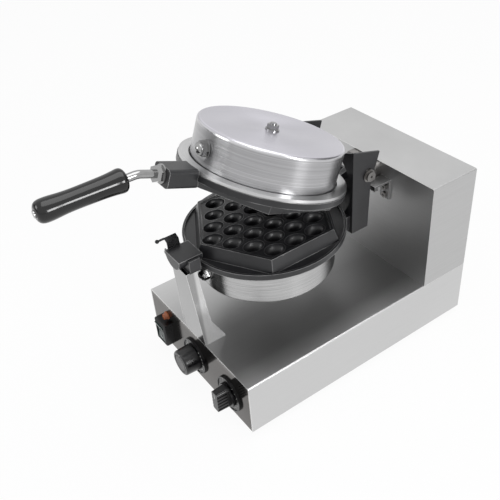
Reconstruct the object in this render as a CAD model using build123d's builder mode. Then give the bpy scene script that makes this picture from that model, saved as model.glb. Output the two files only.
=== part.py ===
from build123d import *
from math import cos, radians, sin
import os

os.makedirs("parts", exist_ok=True)

# Bubble waffle maker on a stainless base: a head of two round pans that swivels on a
# horizontal shaft, with the upper pan hinged open at the rear.
# Millimetres. +X is to the right seen from the front, +Y to the rear, +Z up.
# The origin is on the table under the middle of the whole outline.

# Overall arrangement. Depths are counted from the front panel, which stands at Y0.
Y0 = -120.77
BODY_W = 250.0
BODY_D = 386.0
FOOT_H = 8.0
DECK_Z = 89.5
TOWER_Z = 250.5
TOWER_D = 81.0
SHEET = 1.5
AXIS_Z = 230.0

# Pans, given as heights away from the plane where the two plates meet.
PAN_Y = 124.0
RING_R = 108.0
RING_IN = 88.0
RING_LIP = 3.0
RING_LOW = 14.0
RING_SEAT = 17.0
RING_TOP = 22.0
HEX_FACE = 97.0
HEX_ROOT = 104.3
CAN_R = 93.0
CAN_TOP = 72.0
CAN_WALL = 1.2
FLANGE_R = 107.0
FLANGE_TOP = 26.0
FACE_GAP = 0.2
SHEET_GAP = 2.0
EGG_L = 14.0
EGG_W = 11.2
EGG_DX = 45.0
EGG_DY = 15.8
EGG_ROWS = [1, 2, 3, 4, 3, 4, 3, 4, 3, 2, 1]

# Lid hinge and the angle at which the lid stands open.
HINGE_Y = 253.0
HINGE_Z = 264.0
LID_OPEN = 21.0
PIN_R = 4.0
RUN_FIT = 0.06

# Swivel shaft and front journal.
SHAFT_R = 14.0
BORE_FIT = 0.05
JOURNAL_R = 17.4
LUG_FRONT = -14.4

# Rear bracket.
BR_W = 59.0
BR_T = 3.0
BR_FRONT = 226.0
BR_HOLE_R = 55.0
BR_HOLE_Z = 246.0
BR_MOUTH = 34.0

# Handle.
BOSS_FRONT = -21.0
ROD_R = 5.0
ROD_Z = 247.0
ROD_BEND_Y = -52.0
ROD_DROP = 20.5
GRIP_L = 104.0

# Controls on the front panel.
LAMP_X, LAMP_Z = -82.0, 67.0
SWITCH_X, SWITCH_Z = -86.0, 39.0
THERMO_X, THERMO_Z = -8.0, 44.0
TIMER_X, TIMER_Z = 77.0, 41.0
STEM_R = 3.0
ROCKER_TILT = 5.0


def at(x, y, z):
    return (x, Y0 + y, z)


def block(x0, x1, y0, y1, z0, z1, mode=Mode.ADD):
    with Locations(at((x0 + x1) / 2, (y0 + y1) / 2, (z0 + z1) / 2)):
        Box(x1 - x0, y1 - y0, z1 - z0, mode=mode)


def disc(plane, r, start, end, hole=0, mode=Mode.ADD):
    with BuildSketch(plane.offset(start)) as outline:
        Circle(r)
        if hole:
            Circle(hole, mode=Mode.SUBTRACT)
    extrude(outline.sketch, amount=end - start, mode=mode)


def hexagon(plane, flats, start, end, hole=0, mode=Mode.ADD):
    with BuildSketch(plane.offset(start)) as outline:
        RegularPolygon(flats / 2, 6, major_radius=False)
        if hole:
            Circle(hole, mode=Mode.SUBTRACT)
    extrude(outline.sketch, amount=end - start, mode=mode)


def facing(x, y, z, direction):
    side = (0, 0, 1) if abs(direction[2]) < 0.5 else (1, 0, 0)
    return Plane(origin=at(x, y, z), x_dir=side, z_dir=direction)


FRONT = (0, -1, 0)
REAR = (0, 1, 0)

# The lid is drawn closed and turned about its hinge; both pans share one set of
# shapes, with +Y towards the front and +Z away from the plane where they meet.
turn = Location((0, Y0 + HINGE_Y, HINGE_Z), (-LID_OPEN, 0, 0))
to_hinge = Location((0, -(Y0 + HINGE_Y), -HINGE_Z))


def opened(plane):
    return Plane(turn * to_hinge * plane.location)


LOWER = Plane(origin=at(0, PAN_Y, AXIS_Z), x_dir=(1, 0, 0), z_dir=(0, 0, -1))
UPPER = opened(Plane(origin=at(0, PAN_Y, AXIS_Z), x_dir=(-1, 0, 0), z_dir=(0, 0, 1)))


def pan_ring(frame):
    # Round cast rim: a flat seat for the plate inside a raised outer lip.
    disc(frame, RING_R, RING_LOW, RING_TOP, RING_IN)
    disc(frame, RING_R - RING_LIP, RING_LOW, RING_SEAT, mode=Mode.SUBTRACT)


def pan_plate(frame):
    # Six-sided mould with drafted sides, a shallow pocket and egg-shaped hollows.
    with BuildSketch(frame.offset(FACE_GAP)) as face:
        RegularPolygon(HEX_FACE, 6, rotation=30)
    with BuildSketch(frame.offset(RING_SEAT)) as root:
        RegularPolygon(HEX_ROOT, 6, rotation=30)
    loft([face.sketch, root.sketch])
    disc(frame, RING_IN - 0.3, RING_SEAT, RING_TOP - 1)
    with BuildSketch(frame.offset(FACE_GAP)) as pocket:
        RegularPolygon(HEX_FACE - 4, 6, rotation=30)
    extrude(pocket.sketch, amount=SHEET_GAP - FACE_GAP, taper=15, mode=Mode.SUBTRACT)
    with BuildPart(mode=Mode.PRIVATE) as egg:
        with BuildSketch(Plane.XY):
            with BuildLine():
                Line((0, -EGG_L), (0, EGG_L))
                EllipticalCenterArc((0, 0), EGG_W, EGG_L, -90, arc_size=180)
            make_face()
        revolve(axis=Axis.Y)
    middle = (len(EGG_ROWS) - 1) / 2
    spots = []
    for row, count in enumerate(EGG_ROWS):
        for i in range(count):
            spots.append(((i - (count - 1) / 2) * EGG_DX, (row - middle) * EGG_DY, SHEET_GAP - 0.6))
    with Locations(frame):
        with Locations(spots):
            add(egg.part, mode=Mode.SUBTRACT)


def pan_can(frame):
    # Deep-drawn stainless cover over the heater, rounded at its closed end.
    disc(frame, CAN_R, RING_TOP, CAN_TOP)
    fillet(edges().sort_by_distance(frame.origin)[-1], radius=4)
    disc(frame, CAN_R - CAN_WALL, RING_TOP, CAN_TOP - CAN_WALL, mode=Mode.SUBTRACT)
    disc(frame, 4.2, CAN_TOP - 5, CAN_TOP + 1, mode=Mode.SUBTRACT)


def pan_heater(frame):
    # Ring-shaped sheathed element on a clamping disc, with its centre stud.
    disc(frame, 70, RING_TOP - 1, RING_TOP + 1, 20)
    with BuildPart(frame.offset(RING_TOP + 5), mode=Mode.PRIVATE) as tube:
        Torus(52, 4.2)
    add(tube.part)
    for x in (-12, 12):
        disc(frame.shift_origin(frame.from_local_coords((x, -52, 0))), 2.5, RING_TOP + 1, RING_TOP + 26)
    with BuildSketch(frame.offset(RING_TOP - 1)) as strap:
        SlotOverall(60, 14)
    extrude(strap.sketch, amount=2)


def pan_nut(frame):
    # Washer, hexagon nut and stud end at the middle of the can.
    disc(frame, 9, CAN_TOP, CAN_TOP + 1.4, 4.1)
    hexagon(frame, 13, CAN_TOP + 1.4, CAN_TOP + 6.8, 4.1)
    disc(frame, 4, RING_TOP + 1.2, CAN_TOP + 9)


def dome_nut(frame):
    # Domed hexagon nut with its washer on the front of the can.
    spot = frame.from_local_coords((0, CAN_R, 47))
    way = frame.from_local_coords((0, 1, 0)) - frame.origin
    side = Plane(origin=spot, x_dir=frame.x_dir, z_dir=way)
    disc(side, 11, 0.05, 1.4)
    hexagon(side, 17, 1.4, 7.4)
    disc(side, 8.1, 7.4, 9.4)
    with BuildPart(side.offset(9.4), mode=Mode.PRIVATE) as cap:
        Sphere(7.6, arc_size1=0)
    add(cap.part)


# Base

with BuildPart() as base_housing:
    block(-BODY_W / 2, BODY_W / 2, 0, BODY_D, FOOT_H, DECK_Z)
    fillet(edges().filter_by(Axis.Y).group_by(Axis.Z)[-1], radius=2.2)
    block(-BODY_W / 2 + SHEET, BODY_W / 2 - SHEET, -1, BODY_D - SHEET, FOOT_H - 1, DECK_Z - SHEET, Mode.SUBTRACT)
    block(-60, 60, BODY_D - 66, BODY_D - 12, DECK_Z - 3, DECK_Z + 1, Mode.SUBTRACT)
    disc(facing(80, BODY_D, 34, FRONT), 7.5, -1, 4, mode=Mode.SUBTRACT)
base_housing.part.label = "base_housing"
export_step(base_housing.part, "parts/base_housing.step")

with BuildPart() as front_panel:
    half = BODY_W / 2 - SHEET - 0.15
    block(-half, half, 0, SHEET, FOOT_H, DECK_Z - SHEET - 0.15)
    block(-half, half, SHEET, 12, FOOT_H + 1.3, FOOT_H + 2.5)
    disc(facing(LAMP_X, 0, LAMP_Z, REAR), 5.1, -1, 4, mode=Mode.SUBTRACT)
    disc(facing(THERMO_X, 0, THERMO_Z, REAR), 5.2, -1, 4, mode=Mode.SUBTRACT)
    disc(facing(TIMER_X, 0, TIMER_Z, REAR), 5.2, -1, 4, mode=Mode.SUBTRACT)
    block(SWITCH_X - 12.6, SWITCH_X + 12.6, -1, 4, SWITCH_Z - 17.6, SWITCH_Z + 17.6, Mode.SUBTRACT)
front_panel.part.label = "front_panel"
export_step(front_panel.part, "parts/front_panel.step")

with BuildPart() as bottom_plate:
    half = BODY_W / 2 - SHEET - 0.2
    block(-half, half, 12.2, BODY_D - SHEET - 0.2, FOOT_H + 0.5, FOOT_H + 1.7)
    with Locations(at(0, BODY_D / 2, FOOT_H + 1)):
        with GridLocations(16, 90, 9, 2):
            Box(6, 46, 4, mode=Mode.SUBTRACT)
bottom_plate.part.label = "bottom_plate"
export_step(bottom_plate.part, "parts/bottom_plate.step")

with BuildPart() as rubber_feet:
    with Locations(at(0, BODY_D / 2, 0)):
        with GridLocations(BODY_W - 64, BODY_D - 72, 2, 2):
            Cone(12, 14, FOOT_H + 0.5, align=(Align.CENTER, Align.CENTER, Align.MIN))
rubber_feet.part.label = "rubber_feet"
export_step(rubber_feet.part, "parts/rubber_feet.step")

# Rear tower: a folded cover standing on the deck, open at the back under its own plate.
with BuildPart() as tower_housing:
    front = BODY_D - TOWER_D
    block(-BODY_W / 2, BODY_W / 2, front, BODY_D, DECK_Z, TOWER_Z)
    fillet(edges().filter_by(Axis.Y).group_by(Axis.Z)[-1], radius=2.2)
    block(-BODY_W / 2 + SHEET, BODY_W / 2 - SHEET, front + SHEET, BODY_D + 1, DECK_Z - 1, TOWER_Z - SHEET, Mode.SUBTRACT)
    disc(facing(0, front, AXIS_Z, REAR), 18.4, -1, 4, mode=Mode.SUBTRACT)
tower_housing.part.label = "tower_housing"
export_step(tower_housing.part, "parts/tower_housing.step")

with BuildPart() as rear_cover:
    half = BODY_W / 2 - SHEET - 0.2
    block(-half, half, BODY_D - SHEET, BODY_D, DECK_Z + 0.2, TOWER_Z - SHEET - 0.2)
    with Locations(facing(0, BODY_D, DECK_Z + 58, REAR)):
        with GridLocations(9, 64, 8, 2):
            Box(3.5, 48, 6, mode=Mode.SUBTRACT)
rear_cover.part.label = "rear_cover"
export_step(rear_cover.part, "parts/rear_cover.step")

with BuildPart() as cover_screws:
    for x in (-112, 112):
        for z in (DECK_Z + 14, TOWER_Z - 16):
            disc(facing(x, BODY_D, z, REAR), 3.6, 0, 2.2)
cover_screws.part.label = "cover_screws"
export_step(cover_screws.part, "parts/cover_screws.step")

# Front support: a folded stainless post that narrows upwards and leans a little forward.
POST_FOOT = 27.0
POST_HEAD = 17.5
POST_TOP = 208.0
POST_LEAN = 7.6
with BuildPart() as support_post:
    rise = POST_TOP - DECK_Z
    web = Plane(origin=at(0, 0, DECK_Z + 0.15), x_dir=(1, 0, 0), z_dir=(0, -rise, -POST_LEAN))
    length = (rise**2 + POST_LEAN**2) ** 0.5
    with BuildSketch(web):
        with BuildLine():
            Polyline((-POST_FOOT, 0), (POST_FOOT, 0), (POST_HEAD, length), (-POST_HEAD, length), close=True)
        make_face()
    extrude(amount=-SHEET)
    for side in (-1, 1):
        lean = Plane(
            origin=at(side * POST_FOOT, 0, DECK_Z + 0.15),
            x_dir=(0, 1, 0),
            z_dir=(side * rise, 0, POST_FOOT - POST_HEAD),
        )
        up = side * (rise**2 + (POST_FOOT - POST_HEAD) ** 2) ** 0.5
        with BuildSketch(lean):
            with BuildLine():
                Polyline(
                    (0, 0),
                    (31.6, 0),
                    (31.6, side * 2),
                    (14.5, side * 34),
                    (7, up),
                    (-POST_LEAN, up),
                    close=True,
                )
            make_face()
        extrude(amount=-SHEET)
support_post.part.label = "support_post"
export_step(support_post.part, "parts/support_post.step")

with BuildPart() as journal_saddle:
    block(-21.5, 21.5, -3, 12.6, POST_TOP + 0.4, AXIS_Z - 2)
    fillet(edges().filter_by(Axis.Y).group_by(Axis.Z)[0], radius=3)
    block(-15.2, 15.2, -4, 5.2, AXIS_Z - 46, AXIS_Z - 19)
    disc(facing(0, -6, AXIS_Z, REAR), JOURNAL_R + 0.45, 0, 22, mode=Mode.SUBTRACT)
    # The left cheek is low, clear of the latch.
    block(-30, -12, -6, 16, AXIS_Z - 14.5, AXIS_Z, Mode.SUBTRACT)
journal_saddle.part.label = "journal_saddle"
export_step(journal_saddle.part, "parts/journal_saddle.step")

# Controls
with BuildPart() as lamp_lens:
    disc(facing(LAMP_X, 0, LAMP_Z, FRONT), 6.4, 0, 1.2)
    with BuildSketch(facing(LAMP_X, -1.2, LAMP_Z, FRONT)):
        Circle(5.6)
    extrude(amount=5, taper=14)
    disc(facing(LAMP_X, 0, LAMP_Z, REAR), 5, 0, 16)
lamp_lens.part.label = "lamp_lens"
export_step(lamp_lens.part, "parts/lamp_lens.step")

with BuildPart() as switch_body:
    block(SWITCH_X - 14, SWITCH_X + 14, -14, 0, SWITCH_Z - 19, SWITCH_Z + 19)
    fillet(edges().group_by(Axis.Y)[0], radius=2.6)
    block(SWITCH_X - 12.4, SWITCH_X + 12.4, 0, 26, SWITCH_Z - 17.4, SWITCH_Z + 17.4)
    block(SWITCH_X - 11.4, SWITCH_X + 11.4, -15, 1.6, SWITCH_Z - 16.6, SWITCH_Z + 16.6, Mode.SUBTRACT)
switch_body.part.label = "switch_body"
export_step(switch_body.part, "parts/switch_body.step")

with BuildPart() as rocker:
    tilt = radians(ROCKER_TILT)
    pivot = Plane(origin=at(SWITCH_X, -8, SWITCH_Z), x_dir=(0, cos(tilt), sin(tilt)), z_dir=(1, 0, 0))
    with BuildSketch(pivot.offset(-10.9)):
        with BuildLine():
            Polyline((6, -8), (6, 8), (-2, 15), (-6.4, 15), (-4, 0), (-6.4, -15), (-2, -15), close=True)
        make_face()
    extrude(amount=21.8)
rocker.part.label = "rocker"
export_step(rocker.part, "parts/rocker.step")


def dial_plate(x, z, r):
    # Round black scale plate with a raised ring and a hole for the stem.
    front = facing(x, 0, z, FRONT)
    disc(front, r, 0, 2.2, 5.2)
    disc(front, r, 2.2, 3.2, r - 1.6)


with BuildPart() as thermostat_dial:
    dial_plate(THERMO_X, THERMO_Z, 27.5)
thermostat_dial.part.label = "thermostat_dial"
export_step(thermostat_dial.part, "parts/thermostat_dial.step")

with BuildPart() as timer_dial:
    dial_plate(TIMER_X, TIMER_Z, 26)
timer_dial.part.label = "timer_dial"
export_step(timer_dial.part, "parts/timer_dial.step")


def control_unit(x, z, w, depth):
    # Body behind the panel with a threaded bush that carries the knob's stem.
    block(x - w / 2, x + w / 2, SHEET + 0.1, depth, z - w / 2, z + w / 2)
    disc(facing(x, SHEET + 0.1, z, FRONT), 5, 0, SHEET + 1.6)
    disc(facing(x, -4, z, REAR), STEM_R + BORE_FIT, 0, 17, mode=Mode.SUBTRACT)


with BuildPart() as thermostat_unit:
    control_unit(THERMO_X, THERMO_Z, 38, 34)
thermostat_unit.part.label = "thermostat_unit"
export_step(thermostat_unit.part, "parts/thermostat_unit.step")

with BuildPart() as timer_unit:
    control_unit(TIMER_X, TIMER_Z, 42, 46)
timer_unit.part.label = "timer_unit"
export_step(timer_unit.part, "parts/timer_unit.step")

with BuildPart() as thermostat_knob:
    front = facing(THERMO_X, -3.6, THERMO_Z, FRONT)
    with BuildSketch(front):
        Circle(19.5)
    extrude(amount=22, taper=2.5)
    fillet(edges().group_by(Axis.Y)[0], radius=2.6)
    disc(front.offset(22), 13.6, -0.8, 1, 12.3, mode=Mode.SUBTRACT)
    disc(front, STEM_R, -15, 1)
thermostat_knob.part.label = "thermostat_knob"
export_step(thermostat_knob.part, "parts/thermostat_knob.step")

with BuildPart() as timer_knob:
    front = facing(TIMER_X, -3.6, TIMER_Z, FRONT)
    disc(front, 17.5, 0, 3)
    with BuildSketch(front.offset(3)):
        RectangleRounded(34, 15, 4)
    extrude(amount=17, taper=3)
    for side in (-1, 1):
        for z in (-11, -5.5, 0, 5.5, 11):
            rib_x, rib_z = TIMER_X + side * 8, TIMER_Z + z
            block(rib_x - 2, rib_x + 2, -26, -8.6, rib_z - 1, rib_z + 1, Mode.SUBTRACT)
    disc(front, STEM_R, -15, 1)
timer_knob.part.label = "timer_knob"
export_step(timer_knob.part, "parts/timer_knob.step")

with BuildPart() as terminal_block:
    block(-46, 46, BODY_D - 30, BODY_D - 12, DECK_Z - 30, DECK_Z - 8)
    for i in range(6):
        disc(facing(-37.5 + 15 * i, BODY_D - 30, DECK_Z - 19, FRONT), 3, -3, 1, mode=Mode.SUBTRACT)
terminal_block.part.label = "terminal_block"
export_step(terminal_block.part, "parts/terminal_block.step")

with BuildPart() as cable_gland:
    back = facing(80, BODY_D, 34, REAR)
    disc(back, 7.2, -8, 0)
    hexagon(back, 22, 0, 5)
    with BuildSketch(back.offset(5)):
        Circle(9)
    extrude(amount=9, taper=12)
    disc(back, 4.2, -10, 20, mode=Mode.SUBTRACT)
cable_gland.part.label = "cable_gland"
export_step(cable_gland.part, "parts/cable_gland.step")

# Swivel bearing and the stop at its right
with BuildPart() as swivel_bearing:
    wall = facing(0, BODY_D - TOWER_D, AXIS_Z, REAR)
    block(-29, 29, BODY_D - TOWER_D - 12, BODY_D - TOWER_D, AXIS_Z - 19, AXIS_Z + 19)
    fillet(edges().filter_by(Axis.Y), radius=5)
    fillet(edges().group_by(Axis.Y)[0], radius=1.5)
    disc(wall, 18, 0, 22)
    disc(wall, SHAFT_R + BORE_FIT, -14, 24, mode=Mode.SUBTRACT)
swivel_bearing.part.label = "swivel_bearing"
export_step(swivel_bearing.part, "parts/swivel_bearing.step")

with BuildPart() as stop_bracket:
    front = BODY_D - TOWER_D
    block(31, 49, front - 2.5, front, 199, 231)
    block(31, 49, front - 30, front, 228.5, 231)
stop_bracket.part.label = "stop_bracket"
export_step(stop_bracket.part, "parts/stop_bracket.step")

with BuildPart() as stop_screws:
    for z in (204.5, 217):
        disc(facing(40, front - 2.5, z, FRONT), 4.2, 0, 2.6)
stop_screws.part.label = "stop_screws"
export_step(stop_screws.part, "parts/stop_screws.step")

# Swivelling head
with BuildPart() as swivel_shaft:
    tail = facing(0, 254, AXIS_Z, REAR)
    disc(tail, 25, 0, 5)
    disc(tail, SHAFT_R, 5, 90)
    disc(tail, 8, -1, 91, mode=Mode.SUBTRACT)
swivel_shaft.part.label = "swivel_shaft"
export_step(swivel_shaft.part, "parts/swivel_shaft.step")

with BuildPart() as shaft_nut:
    hexagon(facing(0, 329, AXIS_Z, REAR), 31, 0, 9, SHAFT_R)
shaft_nut.part.label = "shaft_nut"
export_step(shaft_nut.part, "parts/shaft_nut.step")

with BuildPart() as stop_arm:
    arm = facing(0, 278, AXIS_Z, REAR)
    disc(arm, 20, 0, 6)
    block(10, 46, 278, 284, AXIS_Z - 9, AXIS_Z - 1.9)
    disc(arm, SHAFT_R, -1, 7, mode=Mode.SUBTRACT)
stop_arm.part.label = "stop_arm"
export_step(stop_arm.part, "parts/stop_arm.step")

with BuildPart() as pan_bracket:
    # Front frame with its round cut-out, open at the top between two horns.
    with BuildSketch(facing(0, BR_FRONT, AXIS_Z, REAR)):
        with BuildLine():
            Polyline(
                (-47, -BR_W),
                (76, -BR_W),
                (71, -45),
                (63.5, -BR_MOUTH),
                (63.5, BR_MOUTH),
                (71, 45),
                (76, BR_W),
                (-47, BR_W),
                close=True,
            )
        make_face()
        with Locations((BR_HOLE_Z - AXIS_Z, 0)):
            Circle(BR_HOLE_R, mode=Mode.SUBTRACT)
        with Locations((BR_HOLE_Z - AXIS_Z + 40, 0)):
            Rectangle(80, 2 * BR_MOUTH, mode=Mode.SUBTRACT)
    extrude(amount=BR_T)
    # Side walls with a slanted ear and an upright slot for the hinge screw.
    for side in (-1, 1):
        wall = Plane(origin=at(side * BR_W, 0, 0), x_dir=(0, 1, 0), z_dir=(side, 0, 0))
        with BuildSketch(wall):
            with BuildLine():
                Polyline(
                    (BR_FRONT, side * 183),
                    (BR_FRONT, side * 306),
                    (271, side * 293),
                    (257, side * 249),
                    (254, side * 183),
                    close=True,
                )
            make_face()
        extrude(amount=-BR_T)
        with BuildSketch(wall.offset(1)):
            with Locations((HINGE_Y, side * (HINGE_Z + 3.5))):
                SlotCenterToCenter(7, 2 * (PIN_R + RUN_FIT), rotation=90)
        extrude(amount=-BR_T - 2, mode=Mode.SUBTRACT)
    # Rear web that carries the shaft.
    block(-BR_W + 1, BR_W - 1, 250.5, 254, 183, 250)
    block(-26, 26, 250.5, 254, 249, 256)
    disc(facing(0, 248, AXIS_Z, REAR), 8, 0, 8, mode=Mode.SUBTRACT)
pan_bracket.part.label = "pan_bracket"
export_step(pan_bracket.part, "parts/pan_bracket.step")

with BuildPart() as bracket_bolts:
    for x in (-47, 47):
        hexagon(facing(x, BR_FRONT + BR_T, 196, REAR), 10, 0, 5.5)
    with Locations(facing(0, 250.5, AXIS_Z, FRONT)):
        with PolarLocations(19.5, 4, start_angle=45):
            Cylinder(4.2, 3.6, align=(Align.CENTER, Align.CENTER, Align.MIN))
bracket_bolts.part.label = "bracket_bolts"
export_step(bracket_bolts.part, "parts/bracket_bolts.step")

with BuildPart() as lower_ring:
    pan_ring(LOWER)
    # Half-round journal at the front, flat side up.
    disc(facing(0, LUG_FRONT, AXIS_Z, REAR), JOURNAL_R, 0, 19.2 - LUG_FRONT)
    block(-13, 13, 13.2, 19.2, AXIS_Z - RING_TOP, AXIS_Z - 12)
    block(-20, 20, LUG_FRONT - 1, 25, AXIS_Z - FACE_GAP, AXIS_Z + 30, Mode.SUBTRACT)
    # Foot at the rear that bolts to the bracket.
    block(-54, 54, 213, BR_FRONT, 188, AXIS_Z - RING_TOP + 1)
    disc(LOWER, CAN_R + 1, RING_TOP, RING_TOP + 40, mode=Mode.SUBTRACT)
    # Two small ears for the latch pin.
    for y in (LUG_FRONT + 3, 8.6):
        block(-24, -14.5, y, y + 1.8, 220.5, 227.5)
    disc(facing(-20.8, LUG_FRONT, 224, REAR), 1.5, 0, 30, mode=Mode.SUBTRACT)
lower_ring.part.label = "lower_ring"
export_step(lower_ring.part, "parts/lower_ring.step")

with BuildPart() as lower_plate:
    pan_plate(LOWER)
lower_plate.part.label = "lower_plate"
export_step(lower_plate.part, "parts/lower_plate.step")

with BuildPart() as lower_heater:
    pan_heater(LOWER)
lower_heater.part.label = "lower_heater"
export_step(lower_heater.part, "parts/lower_heater.step")

with BuildPart() as lower_can:
    pan_can(LOWER)
lower_can.part.label = "lower_can"
export_step(lower_can.part, "parts/lower_can.step")

with BuildPart() as lower_can_nut:
    pan_nut(LOWER)
lower_can_nut.part.label = "lower_can_nut"
export_step(lower_can_nut.part, "parts/lower_can_nut.step")

with BuildPart() as lower_dome_nut:
    dome_nut(LOWER)
lower_dome_nut.part.label = "lower_dome_nut"
export_step(lower_dome_nut.part, "parts/lower_dome_nut.step")

with BuildPart() as latch_pin:
    disc(facing(-20.8, LUG_FRONT + 1.6, 224, REAR), 1.5, 0, 25)
    disc(facing(-20.8, LUG_FRONT + 1.6, 224, REAR), 2.6, 0, 1.2)
latch_pin.part.label = "latch_pin"
export_step(latch_pin.part, "parts/latch_pin.step")

with BuildPart() as latch_strip:
    # Folded strip with a rolled eye at the pin and an outward lip at the top.
    profile = Plane(origin=at(-20.8, -8.8, 224), x_dir=(1, 0, 0), z_dir=(0, 1, 0))
    eye = facing(-20.8, -8.8, 224, REAR)
    disc(eye, 3, 0, 17)
    with BuildSketch(profile):
        with BuildLine():
            Polyline((1.4, 0), (3, 0), (1.6, -14), (-5.6, -17.6), (-6.3, -16.3), (0.2, -13))
            Line((0.2, -13), (1.4, 0))
        make_face()
    extrude(amount=17)
    disc(eye, 1.5 + BORE_FIT, -1, 18, mode=Mode.SUBTRACT)
latch_strip.part.label = "latch_strip"
export_step(latch_strip.part, "parts/latch_strip.step")

with BuildPart() as latch_finger:
    disc(facing(-25.6, -8.8, 240.9, FRONT), 1.4, 0, 9)
    with Locations(at(-25.6, -18.8, 240.9)):
        Sphere(2.6)
latch_finger.part.label = "latch_finger"
export_step(latch_finger.part, "parts/latch_finger.step")

# Hinge screws, which can rise a little in the bracket's slots
with BuildPart() as hinge_screws:
    for side in (-1, 1):
        out = facing(side * (BR_W + 0.35), HINGE_Y, HINGE_Z, (side, 0, 0))
        disc(out, 9, 0, 1.4)
        disc(out, 7, 1.4, 5.4)
        disc(out, 1.6, 3.6, 6, mode=Mode.SUBTRACT)
        disc(out, PIN_R, -36, 0.5)
        hexagon(out, 13, -37, -33.6)
hinge_screws.part.label = "hinge_screws"
export_step(hinge_screws.part, "parts/hinge_screws.step")

# Lid
with BuildPart() as upper_ring:
    pan_ring(UPPER)
    # Two short arms from the rear of the rim up to the hinge screws.
    for side in (-1, 1):
        arm = opened(Plane(origin=at(side * 36, 0, 0), x_dir=(0, 1, 0), z_dir=(-side, 0, 0)))
        with BuildSketch(arm):
            with BuildLine():
                Polyline(
                    (214, -side * 244.5),
                    (229, -side * 244.5),
                    (259.5, -side * 258),
                    (259.5, -side * 270.5),
                    (248, -side * 272),
                    (231, -side * 258),
                    (220, -side * 252),
                    (214, -side * 252),
                    close=True,
                )
            make_face()
        extrude(amount=8)
        with BuildSketch(arm.offset(-1)):
            with Locations((HINGE_Y, -side * HINGE_Z)):
                Circle(PIN_R + RUN_FIT)
        extrude(amount=10, mode=Mode.SUBTRACT)
    # Squared boss at the front for the handle rod.
    with BuildSketch(opened(facing(0, BOSS_FRONT, ROD_Z, REAR))):
        with Locations((-1.5, 0)):
            RectangleRounded(23, 34, 5)
    extrude(amount=19.2 - BOSS_FRONT)
    disc(UPPER, FLANGE_R + 0.1, RING_TOP, CAN_TOP, mode=Mode.SUBTRACT)
    with BuildSketch(UPPER):
        Circle(RING_R - RING_LIP)
    extrude(amount=RING_SEAT, mode=Mode.SUBTRACT)
upper_ring.part.label = "upper_ring"
export_step(upper_ring.part, "parts/upper_ring.step")

with BuildPart() as upper_plate:
    pan_plate(UPPER)
upper_plate.part.label = "upper_plate"
export_step(upper_plate.part, "parts/upper_plate.step")

with BuildPart() as upper_heater:
    pan_heater(UPPER)
upper_heater.part.label = "upper_heater"
export_step(upper_heater.part, "parts/upper_heater.step")

with BuildPart() as upper_can:
    pan_can(UPPER)
upper_can.part.label = "upper_can"
export_step(upper_can.part, "parts/upper_can.step")

with BuildPart() as upper_can_nut:
    pan_nut(UPPER)
upper_can_nut.part.label = "upper_can_nut"
export_step(upper_can_nut.part, "parts/upper_can_nut.step")

with BuildPart() as upper_dome_nut:
    dome_nut(UPPER)
upper_dome_nut.part.label = "upper_dome_nut"
export_step(upper_dome_nut.part, "parts/upper_dome_nut.step")

with BuildPart() as upper_flange:
    # Bright flat ring on top of the rim, a small gap away from the can.
    disc(UPPER, FLANGE_R, RING_TOP, FLANGE_TOP, CAN_R + 1.8)
upper_flange.part.label = "upper_flange"
export_step(upper_flange.part, "parts/upper_flange.step")

# Handle: bent rod, locking nut and turned grip
GRIP_START = at(0, ROD_BEND_Y - 15 * cos(radians(ROD_DROP)), ROD_Z - 15 * sin(radians(ROD_DROP)))
GRIP_WAY = (0, -cos(radians(ROD_DROP)), -sin(radians(ROD_DROP)))
GRIP = opened(Plane(origin=GRIP_START, x_dir=(1, 0, 0), z_dir=GRIP_WAY))

with BuildPart() as handle_rod:
    side_view = opened(Plane(origin=at(0, 0, 0), x_dir=(0, 1, 0), z_dir=(1, 0, 0)))
    far = ROD_BEND_Y - 60 * cos(radians(ROD_DROP))
    drop = ROD_Z - 60 * sin(radians(ROD_DROP))
    with BuildLine(side_view) as path:
        FilletPolyline((BOSS_FRONT - 0.1, ROD_Z), (ROD_BEND_Y, ROD_Z), (far, drop), radius=24)
    with BuildSketch(opened(facing(0, BOSS_FRONT - 0.1, ROD_Z, FRONT))):
        Circle(ROD_R)
    sweep(path=path.line)
handle_rod.part.label = "handle_rod"
export_step(handle_rod.part, "parts/handle_rod.step")

with BuildPart() as handle_nut:
    face = opened(facing(0, BOSS_FRONT - 0.1, ROD_Z, FRONT))
    disc(face, 11.5, 0, 1.8, ROD_R)
    hexagon(face, 18, 1.8, 10, ROD_R)
handle_nut.part.label = "handle_nut"
export_step(handle_nut.part, "parts/handle_nut.step")

with BuildPart() as handle_grip:
    cut = Plane(origin=GRIP.origin, x_dir=GRIP.x_dir, z_dir=-GRIP.y_dir)
    with BuildSketch(cut):
        with BuildLine():
            Polyline((0, 46), (0, 0), (10.5, 0))
            Spline((10.5, 0), (13.6, 3), (13.8, 10), (12.2, 40), (12.4, 75), (13.4, 92), (11.5, 101), (7, GRIP_L))
            Polyline((7, GRIP_L), (0, GRIP_L), (0, 46))
        make_face()
    revolve(axis=Axis(GRIP.origin, GRIP.z_dir))
    disc(GRIP, ROD_R + 0.05, -1, 46, mode=Mode.SUBTRACT)
handle_grip.part.label = "handle_grip"
export_step(handle_grip.part, "parts/handle_grip.step")

with BuildPart() as grip_end_cap:
    disc(GRIP, 4.4, GRIP_L, GRIP_L + 1.6)
grip_end_cap.part.label = "grip_end_cap"
export_step(grip_end_cap.part, "parts/grip_end_cap.step")
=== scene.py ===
import bpy, bmesh, math
from mathutils import Matrix, Vector


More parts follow.
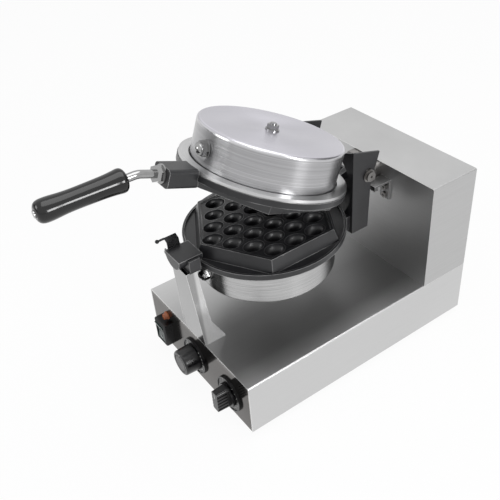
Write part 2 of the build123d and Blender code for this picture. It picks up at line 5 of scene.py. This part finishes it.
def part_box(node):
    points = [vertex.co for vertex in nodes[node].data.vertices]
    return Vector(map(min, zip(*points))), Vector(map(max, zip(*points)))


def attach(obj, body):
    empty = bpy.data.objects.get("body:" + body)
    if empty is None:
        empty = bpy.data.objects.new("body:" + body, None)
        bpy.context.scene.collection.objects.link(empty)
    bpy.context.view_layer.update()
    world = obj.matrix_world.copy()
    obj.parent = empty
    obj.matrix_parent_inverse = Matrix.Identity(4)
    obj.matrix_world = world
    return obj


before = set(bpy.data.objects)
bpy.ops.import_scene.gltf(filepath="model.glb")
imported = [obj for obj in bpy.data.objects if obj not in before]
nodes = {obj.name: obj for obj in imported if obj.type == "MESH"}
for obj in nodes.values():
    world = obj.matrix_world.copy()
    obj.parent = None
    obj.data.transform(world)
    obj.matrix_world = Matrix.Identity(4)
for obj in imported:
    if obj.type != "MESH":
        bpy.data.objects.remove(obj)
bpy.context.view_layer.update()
scene = bpy.context.scene


# Studio
# A pale paper floor that blends into a white surround, lit by three soft lamps, with a faint
# shadow under the machine. Bright metal reflects a surround that dims towards the floor and
# has two dark flags, which the camera itself doesn't see.
WHITE = (1, 1, 1, 1)


def srgb(code):
    parts = [int(code[i:i + 2], 16) / 255 for i in (0, 2, 4)]
    return tuple(c / 12.92 if c <= 0.04045 else ((c + 0.055) / 1.055) ** 2.4 for c in parts) + (1.0,)


def node(tree, kind, settings=None, **links):
    made = tree.nodes.new("ShaderNode" + kind)
    for name, value in (settings or {}).items():
        if hasattr(made, name):
            setattr(made, name, value)
        else:
            made.inputs[int(name[1:]) if name[1:].isdigit() else name].default_value = value
    for name, source in links.items():
        socket = made.inputs[int(name[1:]) if name[1:].isdigit() else name.replace("_", " ")]
        tree.links.new(source, socket)
    return made


def seen_directly(tree):
    rays = node(tree, "LightPath").outputs
    either = {"operation": "MAXIMUM"}
    glossy = node(tree, "Math", either, i0=rays["Is Glossy Ray"], i1=rays["Is Transmission Ray"])
    seen = node(tree, "Math", either, i0=rays["Is Camera Ray"], i1=glossy.outputs[0])
    return rays["Is Camera Ray"], seen.outputs[0]


world = bpy.data.worlds.new("studio_white")
scene.world = world
world.use_nodes = True
tree = world.node_tree
tree.nodes.clear()
FILL_LIGHT = 0.5
ROOM_LOW, ROOM_HIGH = 0.6, 1.0
FLAG_BEARINGS = (-125, 75)
FLAG_DARK = 0.2
by_camera, seen = seen_directly(tree)
soft = node(tree, "Background", {"Color": srgb("ECEDF0"), "Strength": FILL_LIGHT})
outward = node(tree, "TexCoord").outputs["Generated"]
level = node(tree, "SeparateXYZ", None, i0=outward)
shine = node(
    tree, "MapRange", {"From Min": -0.2, "From Max": 0.35, "To Min": ROOM_LOW, "To Max": ROOM_HIGH},
    Value=level.outputs["Z"],
)
for bearing in FLAG_BEARINGS:
    way = (math.cos(math.radians(bearing)), math.sin(math.radians(bearing)), 0)
    facing = node(tree, "VectorMath", {"operation": "DOT_PRODUCT", "i1": way}, i0=outward)
    flag = node(
        tree, "MapRange", {"From Min": 0.8, "From Max": 0.95, "To Min": 1.0, "To Max": FLAG_DARK},
        Value=facing.outputs["Value"],
    )
    shine = node(tree, "Math", {"operation": "MULTIPLY"}, i0=shine.outputs[0], i1=flag.outputs[0])
room = node(tree, "Background", {"Color": WHITE}, Strength=shine.outputs[0])
white = node(tree, "Background", {"Color": WHITE, "Strength": 1.0})
mirror = node(tree, "MixShader", None, i0=by_camera, i1=room.outputs[0], i2=white.outputs[0])
both = node(tree, "MixShader", None, i0=seen, i1=soft.outputs[0], i2=mirror.outputs[0])
node(tree, "OutputWorld", None, Surface=both.outputs[0])

FLOOR_REACH = 6
FLOOR_BELOW_FEET = 0.0005
PAPER_GLOW = 0.94
floor_mesh = bpy.data.meshes.new("studio_floor")
build = bmesh.new()
bmesh.ops.create_grid(build, x_segments=1, y_segments=1, size=FLOOR_REACH)
build.to_mesh(floor_mesh)
build.free()
floor = bpy.data.objects.new("studio_floor", floor_mesh)
scene.collection.objects.link(floor)
floor.location = (0, 0, -FLOOR_BELOW_FEET)
paper = bpy.data.materials.new("white_paper_sweep")
paper.use_nodes = True
tree = paper.node_tree
tree.nodes.clear()
matt = node(tree, "BsdfDiffuse", {"Color": srgb("F4F4F4")})
glow = node(tree, "Emission", {"Color": WHITE, "Strength": 1.0})
catch = node(tree, "MixShader", {"Fac": PAPER_GLOW}, i1=matt.outputs[0], i2=glow.outputs[0])
seen = seen_directly(tree)[1]
plain = node(tree, "MixShader", None, i0=seen, i1=matt.outputs[0], i2=catch.outputs[0])
node(tree, "OutputMaterial", None, Surface=plain.outputs[0])
floor_mesh.materials.append(paper)

for name, place, aim, size, power in (
    ("overhead_softbox", (0.1, 0.3, 1.9), (0, 0, 0.1), 1.4, 13),
    ("front_left_softbox", (-0.7, -1.8, 1.2), (0, 0, 0.2), 0.8, 9),
    ("right_softbox", (1.95, 0.3, 0.8), (0, 0, 0.15), 0.55, 15),
):
    lamp = bpy.data.lights.new(name, "AREA")
    lamp.shape = "SQUARE"
    lamp.size = size
    lamp.energy = power
    lit = bpy.data.objects.new(name, lamp)
    scene.collection.objects.link(lit)
    lit.location = place
    lit.rotation_euler = (Vector(aim) - Vector(place)).to_track_quat("-Z", "Y").to_euler()

LENS_MM, SENSOR_MM = 50.825, 36
EYE_PLACE = (0.631926, -0.419231, 0.751362)
EYE_TURN = (52.674159, 4.047384, 54.744016)
camera = bpy.data.cameras.new("photo_view")
camera.lens = LENS_MM
camera.sensor_width = SENSOR_MM
camera.clip_end = 50
eye = bpy.data.objects.new("photo_view", camera)
scene.collection.objects.link(eye)
eye.location = EYE_PLACE
eye.rotation_euler = tuple(math.radians(a) for a in EYE_TURN)
scene.camera = eye
scene.view_settings.view_transform = "Standard"

# Body panels
# Folded 1.5 mm stainless sheet, grained along its length at the mill, so that it shows
# fine straight streaks and soft stretched highlights. Their bright edges are a painted highlight,
# and some panels carry painted light and shade along one axis. The real grain is about
# 0.1 mm; it is drawn 0.7 to 1.4 mm wide so that it still shows at arm's length.
MM = 0.001
FRONT_Y = -0.12077
PAN_CENTRE_Y = FRONT_Y + 124 * MM
HINGE = Vector((0, FRONT_Y + 253 * MM, 264 * MM))
LID_OPEN = math.radians(21)


def finish(material, *names):
    for name in names:
        part = nodes[name] if isinstance(name, str) else name
        if not part.material_slots:
            part.data.materials.append(material)
        for held in part.material_slots:
            held.material = material


def softened(width_mm, *names):
    for name in names:
        part = nodes[name] if isinstance(name, str) else name
        edge = part.modifiers.new("rounded_edges", "BEVEL")
        edge.width = width_mm * MM
        edge.segments = 3
        edge.limit_method = "ANGLE"
        edge.angle_limit = math.radians(35)
        edge.harden_normals = True


# Bright where the face turns away from the rounded normal, which is along the sharp edges.
# On the steel this is a painted highlight; on the coatings it marks real wear to bare metal.
def edge_wear_and_highlight_mask(tree, width_mm):
    true_face = node(tree, "NewGeometry").outputs["True Normal"]
    rounded = node(tree, "Bevel", {"samples": 6, "Radius": width_mm * MM}).outputs[0]
    square = node(tree, "VectorMath", {"operation": "DOT_PRODUCT"}, i0=true_face, i1=rounded)
    worn = node(tree, "MapRange", {"From Min": 0.985, "From Max": 0.9}, Value=square.outputs["Value"])
    return worn.outputs[0]


SPUN_STRETCH, SPUN_TURN = 0.85, 0.25
STEEL_EDGE_HIGHLIGHT_MM = 0.9
HAZE_PER_M = 8.0
GRAIN_RELIEF, GRAIN_DEPTH = 0.06, 0.2 * MM


# grain is the length in millimetres of one streak along X, Y and Z, or, where the sheet is
# spun, along the radius, X and Z. The shading argument is an axis and the tones at places along
# it: painted light and shade, multiplied into the colour.
def grained_steel(
    name, tone, dark, grain, rough, streaks=0.5, painted_shading=None, lid=False, spun=False, edge=None
):
    material = bpy.data.materials.new(name)
    material.use_nodes = True
    tree = material.node_tree
    shader = tree.nodes["Principled BSDF"]
    shader.inputs["Metallic"].default_value = 1.0
    if spun:
        shader.inputs["Anisotropic"].default_value = SPUN_STRETCH
        shader.inputs["Anisotropic Rotation"].default_value = SPUN_TURN
        round_grain = node(tree, "Tangent", {"direction_type": "RADIAL", "axis": "Z"})
        tree.links.new(round_grain.outputs[0], shader.inputs["Tangent"])
    flat = node(tree, "TexCoord").outputs["Object"]
    if lid:
        turned = Matrix.Rotation(LID_OPEN, 3, "X")
        shift = HINGE - turned @ HINGE
        closed = node(tree, "Mapping", {"Rotation": (LID_OPEN, 0, 0), "Location": shift}, Vector=flat)
        flat = closed.outputs[0]
    lined = flat
    if spun:
        centred = node(tree, "VectorMath", {"operation": "SUBTRACT", "i1": (0, PAN_CENTRE_Y, 0)}, i0=flat)
        plan = node(tree, "VectorMath", {"operation": "MULTIPLY", "i1": (1, 1, 0)}, i0=centred.outputs[0])
        radius = node(tree, "VectorMath", {"operation": "LENGTH"}, i0=plan.outputs[0])
        parts = node(tree, "SeparateXYZ", None, i0=centred.outputs[0])
        rings = node(
            tree, "CombineXYZ", None,
            X=radius.outputs["Value"], Y=parts.outputs["X"], Z=parts.outputs["Z"],
        )
        lined = rings.outputs[0]
    stretch = node(tree, "Mapping", {"Scale": tuple(1 / (g * MM) for g in grain)}, Vector=lined)
    streaky = {"Scale": 1.0, "Detail": 3.0, "Roughness": 0.6}
    streak = node(tree, "TexNoise", streaky, Vector=stretch.outputs[0])
    cloud = node(tree, "TexNoise", {"Scale": HAZE_PER_M, "Detail": 2.0}, Vector=flat)
    sharp = node(
        tree, "MapRange",
        {"From Min": 0.3, "From Max": 0.7, "To Min": 0.5 - streaks / 2, "To Max": 0.5 + streaks / 2},
        Value=streak.outputs["Fac"],
    )
    blend = node(tree, "Mix", {"data_type": "RGBA", "i6": srgb(dark), "i7": srgb(tone)}, i0=sharp.outputs[0])
    tint = blend.outputs[2]
    # Painted light and shade: a ramp of tones along one object axis multiplies the colour.
    if painted_shading:
        axis, stops = painted_shading
        level = node(tree, "SeparateXYZ", None, i0=flat)
        first, last = stops[0][0], stops[-1][0]
        reach = {"From Min": first * MM, "From Max": last * MM}
        span = node(tree, "MapRange", reach, Value=level.outputs[axis])
        ramp = node(tree, "ValToRGB", None, i0=span.outputs[0])
        bands = ramp.color_ramp.elements
        while len(bands) < len(stops):
            bands.new(0.5)
        for band, (place, code) in zip(bands, stops):
            band.position = (place - first) / (last - first)
            band.color = srgb(code)
        with_painted_shading = node(
            tree, "Mix", {"data_type": "RGBA", "blend_type": "MULTIPLY", "i0": 1.0},
            i6=tint, i7=ramp.outputs[0],
        )
        tint = with_painted_shading.outputs[2]
    # Painted highlight: the sharp edges are mixed towards a bright tone.
    if edge:
        edge_wear_and_highlight = edge_wear_and_highlight_mask(tree, STEEL_EDGE_HIGHLIGHT_MM)
        bright = node(tree, "Mix", {"data_type": "RGBA", "i7": srgb(edge)}, i0=edge_wear_and_highlight, i6=tint)
        tint = bright.outputs[2]
    tree.links.new(tint, shader.inputs["Base Color"])
    duller = {"To Min": rough - 0.04, "To Max": rough + 0.06}
    spread = node(tree, "MapRange", duller, Value=streak.outputs["Fac"])
    haze = node(tree, "MapRange", {"To Min": -0.03, "To Max": 0.03}, Value=cloud.outputs["Fac"])
    total = node(tree, "Math", {"operation": "ADD"}, i0=spread.outputs[0], i1=haze.outputs[0])
    tree.links.new(total.outputs[0], shader.inputs["Roughness"])
    relief = {"Strength": GRAIN_RELIEF, "Distance": GRAIN_DEPTH}
    bump = node(tree, "Bump", relief, Height=streak.outputs["Fac"])
    tree.links.new(bump.outputs[0], shader.inputs["Normal"])
    return material


# Painted light and shade along X, darkest mid-deck, bright at both ends; painted edge highlight.
deck_steel = grained_steel(
    "brushed_stainless_housing", "D6D6D6", "C8C8C8", grain=(0.9, 90, 0.9), rough=0.34, streaks=0.3,
    painted_shading=("X", (
        (-125, "F0F0F0"), (-70, "D8D8D8"), (20, "B0B0B0"), (90, "BCBCBC"), (123, "F4F4F4"), (126, "FFFFFF"),
    )),
    edge="F2F2F2",
)
finish(deck_steel, "base_housing")
plain_steel = grained_steel(
    "brushed_stainless_plate", "BFBDBB", "A6A4A2", grain=(0.8, 90, 0.8), rough=0.36,
)
finish(plain_steel, "bottom_plate", "rear_cover")
# Painted highlight along the sharp edges.
tower_steel = grained_steel(
    "brushed_stainless_tower", "C6C6C6", "B2B2B2", grain=(90, 90, 0.9), rough=0.36, streaks=0.4,
    edge="EEEEEE",
)
finish(tower_steel, "tower_housing")
# Painted shade: toned far darker than the deck's steel, least at its foot and top; painted edge highlight.
panel_steel = grained_steel(
    "rolled_stainless_painted_shade", "625F5D", "565351", grain=(60, 1, 1.4), rough=0.12, streaks=0.5,
    painted_shading=("Z", ((8, "CCC8C4"), (50, "A8A19C"), (80, "B8B1AC"), (87, "FFFFFF"))), edge="F4F0EA",
)
finish(panel_steel, "front_panel")
# Painted light and shade: a darker front web, side walls painted bright; painted edge highlight.
post_steel = grained_steel(
    "stainless_post_painted_light_and_shade", "E2E2E2", "CACACA", grain=(0.7, 0.7, 90), rough=0.12, streaks=0.5,
    painted_shading=("Y", ((-129, "B8B8B8"), (-119, "BCBCBC"), (-116, "F4F4F4"), (-90, "FFFFFF"))), edge="FFFFFF",
)
finish(post_steel, "support_post")
# Painted highlight along the sharp edges.
bracket_steel = grained_steel(
    "brushed_stainless_bracket", "949494", "7A7A7A", grain=(0.7, 0.7, 60), rough=0.28, streaks=0.6,
    edge="E0E0E0",
)
finish(bracket_steel, "stop_bracket", "stop_arm")

# Heater covers and the flange
# Deep-drawn stainless shells polished on a turntable, so their grain and highlights run
# round them, and the machined aluminium face on the upper rim, with lathe rings. Lines of
# about 0.1 mm are drawn 0.6 to 0.7 mm wide so that they show.
cover_low = grained_steel(
    "spun_stainless_lower_cover", "CCCCCC", "9A9A9A", grain=(30, 45, 0.7), rough=0.25, streaks=0.9,
    spun=True,
)
finish(cover_low, "lower_can")
# Painted light: the top face is painted lighter and faintly lavender, as light from above.
cover_top = grained_steel(
    "spun_stainless_upper_cover", "E6E6E8", "B8B8BA", grain=(300, 300, 0.7), rough=0.24, streaks=0.8,
    painted_shading=("Z", ((230, "DCDCDC"), (296, "D0D0D0"), (299, "F4F4F4"), (302, "FAF8FF"))),
    lid=True, spun=True,
)
finish(cover_top, "upper_can")
machined = grained_steel(
    "machined_aluminium_flange", "DADADA", "BEBEBF", grain=(0.6, 30, 0.6), rough=0.3, streaks=0.6,
    lid=True, spun=True,
)
finish(machined, "upper_flange")
softened(0.8, "upper_flange")


# Castings
# Cast aluminium rims and moulds with a dark baked non-stick coating, worn to bare metal
# along their edges; a sand-cast iron saddle; a powder-coated steel bracket. All are satin,
# with a faint sandy relief drawn at 0.7 to 1 mm, because the real grit is too fine to show.
COAT_EDGE_MM = 1.3
BLOTCHES_PER_M = 30.0
SAND_DEPTH = 0.3 * MM


def satin_coat(name, tone, dark, grain_mm, rough, relief, metal=0.0, worn=None):
    material = bpy.data.materials.new(name)
    material.use_nodes = True
    tree = material.node_tree
    shader = tree.nodes["Principled BSDF"]
    flat = node(tree, "TexCoord").outputs["Object"]
    sand = node(tree, "TexNoise", {"Scale": 1 / (grain_mm * MM), "Detail": 3.0}, Vector=flat)
    patch = node(tree, "TexNoise", {"Scale": BLOTCHES_PER_M, "Detail": 3.0}, Vector=flat)
    mixed = node(
        tree, "Math", {"operation": "MULTIPLY_ADD", "i1": 0.5},
        i0=sand.outputs["Fac"], i2=patch.outputs["Fac"],
    )
    clear = node(tree, "MapRange", {"From Min": 0.5, "From Max": 1.0}, Value=mixed.outputs[0])
    blend = node(tree, "Mix", {"data_type": "RGBA", "i6": srgb(dark), "i7": srgb(tone)}, i0=clear.outputs[0])
    tint = blend.outputs[2]
    shader.inputs["Metallic"].default_value = metal
    if worn:
        edge_wear_and_highlight = edge_wear_and_highlight_mask(tree, COAT_EDGE_MM)
        patchy = node(tree, "MapRange", {"From Min": 0.3, "From Max": 0.55}, Value=patch.outputs["Fac"])
        ragged = node(tree, "Math", {"operation": "MULTIPLY"}, i0=edge_wear_and_highlight, i1=patchy.outputs[0])
        bare = node(tree, "Mix", {"data_type": "RGBA", "i7": srgb(worn)}, i0=ragged.outputs[0], i6=tint)
        tint = bare.outputs[2]
        tree.links.new(ragged.outputs[0], shader.inputs["Metallic"])
    tree.links.new(tint, shader.inputs["Base Color"])
    duller = {"To Min": rough - 0.06, "To Max": rough + 0.08}
    spread = node(tree, "MapRange", duller, Value=patch.outputs["Fac"])
    tree.links.new(spread.outputs[0], shader.inputs["Roughness"])
    bump = node(tree, "Bump", {"Strength": relief, "Distance": SAND_DEPTH}, Height=sand.outputs["Fac"])
    tree.links.new(bump.outputs[0], shader.inputs["Normal"])
    return material


coat = satin_coat(
    "baked_nonstick_on_cast_aluminium", "2B2B2D", "1A1A1C", grain_mm=0.8, rough=0.33, relief=0.2,
    worn="B4B4B4",
)
finish(coat, "lower_ring", "upper_ring", "lower_plate", "upper_plate")
cast = satin_coat(
    "sand_cast_grey_iron", "343436", "202022", grain_mm=1.0, rough=0.32, relief=0.4, metal=0.3,
    worn="8A8A8A",
)
finish(cast, "journal_saddle")
powder = satin_coat("charcoal_powder_coat", "29292B", "1C1C1E", grain_mm=0.7, rough=0.36, relief=0.25)
finish(powder, "pan_bracket")
softened(0.5, "pan_bracket")

# Bright fittings
# Chrome-plated nuts, screws, shaft and handle rod: a clean mirror with the faintest haze.
# The zinc-plated screws, bearing and heaters are duller, and the latch is blackened steel.
chrome = grained_steel(
    "bright_chrome_plate", "A6A6A6", "949494", grain=(6, 6, 6), rough=0.11, streaks=0.4,
)
finish(
    chrome, "swivel_shaft", "shaft_nut", "handle_rod", "handle_nut", "lower_can_nut", "upper_can_nut",
    "lower_dome_nut", "upper_dome_nut", "cover_screws", "bracket_bolts", "latch_pin", "grip_end_cap",
)
softened(0.4, "handle_nut", "lower_can_nut", "upper_can_nut", "lower_dome_nut", "upper_dome_nut")
zinc = grained_steel(
    "zinc_plated_steel", "9A9896", "7E7C7A", grain=(5, 5, 5), rough=0.28, streaks=0.6,
)
finish(zinc, "stop_screws", "hinge_screws", "swivel_bearing", "lower_heater", "upper_heater")
softened(0.4, "stop_screws", "hinge_screws")
black_steel = satin_coat(
    "blackened_spring_steel", "2A2A2C", "141416", grain_mm=0.8, rough=0.26, relief=0.1, metal=0.5,
)
finish(black_steel, "latch_strip", "latch_finger")
softened(0.3, "latch_strip")

# Plastics
# Moulded parts: a polished black grip, satin black knobs, scale plates and switch body, a
# dark green rocker and an amber lamp lens. Inside are a steatite terminal block and the
# control bodies, and rubber feet are pressed into the bottom plate.
gloss = satin_coat("polished_black_bakelite", "0E0E0F", "080808", grain_mm=3.0, rough=0.12, relief=0.02)
finish(gloss, "handle_grip")
moulded = satin_coat("satin_black_nylon", "141416", "0C0C0E", grain_mm=0.8, rough=0.28, relief=0.12)
finish(
    moulded, "switch_body", "thermostat_dial", "timer_dial", "thermostat_knob", "timer_knob", "cable_gland",
    "thermostat_unit", "timer_unit",
)
softened(0.5, "switch_body", "thermostat_dial", "timer_dial", "timer_knob")
green = satin_coat("dark_green_acetal", "1C3A35", "142825", grain_mm=2.0, rough=0.25, relief=0.05)
finish(green, "rocker")
softened(0.6, "rocker")
amber = satin_coat("amber_polycarbonate", "B96A40", "8E4A2A", grain_mm=4.0, rough=0.2, relief=0.03)
finish(amber, "lamp_lens")
ceramic = satin_coat("white_steatite", "E4E2DA", "D2CFC6", grain_mm=1.5, rough=0.5, relief=0.1)
finish(ceramic, "terminal_block")
rubber = satin_coat("black_rubber", "1C1C1C", "121212", grain_mm=0.9, rough=0.75, relief=0.2)
finish(rubber, "rubber_feet")


# Printed marks
# White dots, ticks and numbers screen-printed on the two scale plates, a white line on each
# knob, and the I and O on the rocker. The ink is drawn 0.12 mm thick, and the dots 2 mm
# across, both more than real ones, so that they show.
INK = 0.12 * MM
white_ink = satin_coat("white_screen_ink", "EDEDEA", "DADAD6", grain_mm=0.6, rough=0.55, relief=0.1)


def flat_shape(name, outlines, place, body, material, thick=INK):
    build = bmesh.new()
    for outline in outlines:
        face = build.faces.new([build.verts.new((x * MM, 0, z * MM)) for x, z in outline])
        pushed = bmesh.ops.extrude_face_region(build, geom=[face])
        for item in pushed["geom"]:
            if isinstance(item, bmesh.types.BMVert):
                item.co.y -= thick
    bmesh.ops.recalc_face_normals(build, faces=build.faces)
    mesh = bpy.data.meshes.new(name)
    build.to_mesh(mesh)
    build.free()
    piece = bpy.data.objects.new(name, mesh)
    scene.collection.objects.link(piece)
    piece.location = place
    mesh.materials.append(material)
    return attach(piece, body)


def ring_of(count, radius, shape, start=0.0, sweep=360.0):
    turned = []
    for i in range(count):
        a = math.radians(start + sweep * i / (count - (sweep < 360)))
        c, s = math.cos(a), math.sin(a)
        turned.append([(radius * s + x * c + z * s, radius * c - x * s + z * c) for x, z in shape])
    return turned


def round_dot(r, sides=12):
    corners = []
    for i in range(sides):
        corners.append((r * math.cos(2 * math.pi * i / sides), r * math.sin(2 * math.pi * i / sides)))
    return corners


# Each figure is made of straight strokes, given by the two ends of each on a small grid.
SEGMENTS = {
    "0": "abcdef", "1": "bc", "2": "abged", "3": "abgcd", "4": "fgbc", "5": "afgcd",
}
FIGURE_W, FIGURE_GAP = 0.5, 0.45
STROKES = {
    "a": (0, 1, 1, 1), "b": (1, 1, 1, 0), "c": (1, 0, 1, -1), "d": (0, -1, 1, -1), "e": (0, 0, 0, -1),
    "f": (0, 1, 0, 0), "g": (0, 0, 1, 0),
}


def number(text, x, z, tall=3.0, line=0.45):
    wide = tall * FIGURE_W
    step = 1 + FIGURE_GAP
    shapes = []
    left = x - (len(text) * wide * step - wide * FIGURE_GAP) / 2
    for i, figure in enumerate(text):
        for stroke in SEGMENTS[figure]:
            x0, z0, x1, z1 = STROKES[stroke]
            ax, az = left + i * wide * step + x0 * wide, z + z0 * tall / 2
            bx, bz = left + i * wide * step + x1 * wide, z + z1 * tall / 2
            h = line / 2
            shapes.append([
                (min(ax, bx) - h, min(az, bz) - h), (max(ax, bx) + h, min(az, bz) - h),
                (max(ax, bx) + h, max(az, bz) + h), (min(ax, bx) - h, max(az, bz) + h),
            ])
    return shapes


THERMO = Vector((-8 * MM, FRONT_Y, 44 * MM))
TIMER = Vector((77 * MM, FRONT_Y, 41 * MM))
PLATE_T = 2.2
THERMO_START, THERMO_SWEEP, THERMO_STEP = 40, 280, 50
TIMER_START, TIMER_SWEEP = 30, 300
FIGURES = 6
FIGURE_TALL, FIGURE_LINE = 2.0, 0.4
THERMO_FACE, TIMER_FACE = 25.62, 23.62
POINTER_THICK = 0.14 * MM
plate_top = Vector((0, -PLATE_T * MM, 0))


def upright_bar(half_wide, low, high):
    return [(-half_wide, low), (half_wide, low), (half_wide, high), (-half_wide, high)]


def scale_figures(start, sweep, radius, step):
    shapes = []
    for i in range(FIGURES):
        a = math.radians(start + sweep * i / (FIGURES - 1))
        x, z = radius * math.sin(a), radius * math.cos(a)
        shapes += number(str(step * i), x, z, FIGURE_TALL, FIGURE_LINE)
    return shapes


dots = ring_of(21, 21.6, round_dot(1.0), THERMO_START, THERMO_SWEEP)
flat_shape("thermostat_scale_dots", dots, THERMO + plate_top, "base", white_ink)
ticks = ring_of(16, 20.4, upright_bar(0.3, -0.9, 0.9), TIMER_START, TIMER_SWEEP)
flat_shape("timer_scale_ticks", ticks, TIMER + plate_top, "base", white_ink)
figures = scale_figures(THERMO_START, THERMO_SWEEP, 24.2, THERMO_STEP)
flat_shape("thermostat_numbers", figures, THERMO + plate_top, "base", white_ink)
figures = scale_figures(TIMER_START, TIMER_SWEEP, 22.9, 1)
flat_shape("timer_numbers", figures, TIMER + plate_top, "base", white_ink)
flat_shape(
    "thermostat_pointer", [upright_bar(0.55, 14.3, 16.6)], THERMO + Vector((0, -THERMO_FACE * MM, 0)),
    "thermostat_knob_body", white_ink, POINTER_THICK,
)
flat_shape(
    "timer_pointer", [upright_bar(0.6, 6, 15)], TIMER + Vector((0, -TIMER_FACE * MM, 0)),
    "timer_knob_body", white_ink, POINTER_THICK,
)

# The rocker's face stands ROCKER_FACE before its pivot, rises by ROCKER_RISE towards each end
# and leans with the rocker. The signs are upright there, not laid along its slope.
SWITCH_X, SWITCH_Z = -86, 39
PIVOT_Y = -8
ROCKER_FACE, ROCKER_RISE, ROCKER_HALF = 4, 2.4, 15
ROCKER_TILT = math.radians(5)
SIGN_Z = 9.6
SIGN_PROUD = 0.15
SIGN_SIDES = 20
bar = upright_bar(0.5, -2.2, 2.2)
rim = round_dot(2.2, SIGN_SIDES)
hole = round_dot(1.5, SIGN_SIDES)
ring = []
for i in range(SIGN_SIDES):
    j = (i + 1) % SIGN_SIDES
    ring.append([rim[i], rim[j], hole[j], hole[i]])
for name, z, sign in (("rocker_sign_on", SIGN_Z, [bar]), ("rocker_sign_off", -SIGN_Z, ring)):
    face_y = PIVOT_Y - ROCKER_FACE - ROCKER_RISE * abs(z) / ROCKER_HALF - z * math.sin(ROCKER_TILT)
    place = Vector((SWITCH_X * MM, FRONT_Y + (face_y - SIGN_PROUD) * MM, (SWITCH_Z + z) * MM))
    flat_shape(name, sign, place, "rocker_body", white_ink)

# Screw recesses
# Crosses on the heads of the stop screws and the rear cover's screws, which look dark
# because the real recesses are in shadow and hold old grease. They are drawn on the heads.
STOP_X, STOP_HEIGHTS = 40, (204.5, 217)
COVER_X, COVER_HEIGHTS = 112, (103.5, 234.5)
RECESS_THICK = 0.1 * MM
recess = satin_coat("dark_screw_recess", "1C1C1C", "101010", grain_mm=0.6, rough=0.6, relief=0.1)


def cross(arm, wide):
    return [
        [(-arm, -wide), (arm, -wide), (arm, wide), (-arm, wide)],
        [(-wide, wide), (wide, wide), (wide, arm), (-wide, arm)],
        [(-wide, -arm), (wide, -arm), (wide, -wide), (-wide, -wide)],
    ]


stop_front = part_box("stop_screws")[0].y
for i, z in enumerate(STOP_HEIGHTS):
    place = Vector((STOP_X * MM, stop_front, z * MM))
    flat_shape(f"stop_screw_recess_{i + 1}", cross(2.2, 0.5), place, "base", recess, RECESS_THICK)
cover_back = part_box("cover_screws")[1].y
corners = [(x, z) for x in (-COVER_X, COVER_X) for z in COVER_HEIGHTS]
for i, (x, z) in enumerate(corners):
    place = Vector((x * MM, cover_back, z * MM))
    flat_shape(f"cover_screw_recess_{i + 1}", cross(2, 0.45), place, "base", recess, -RECESS_THICK)
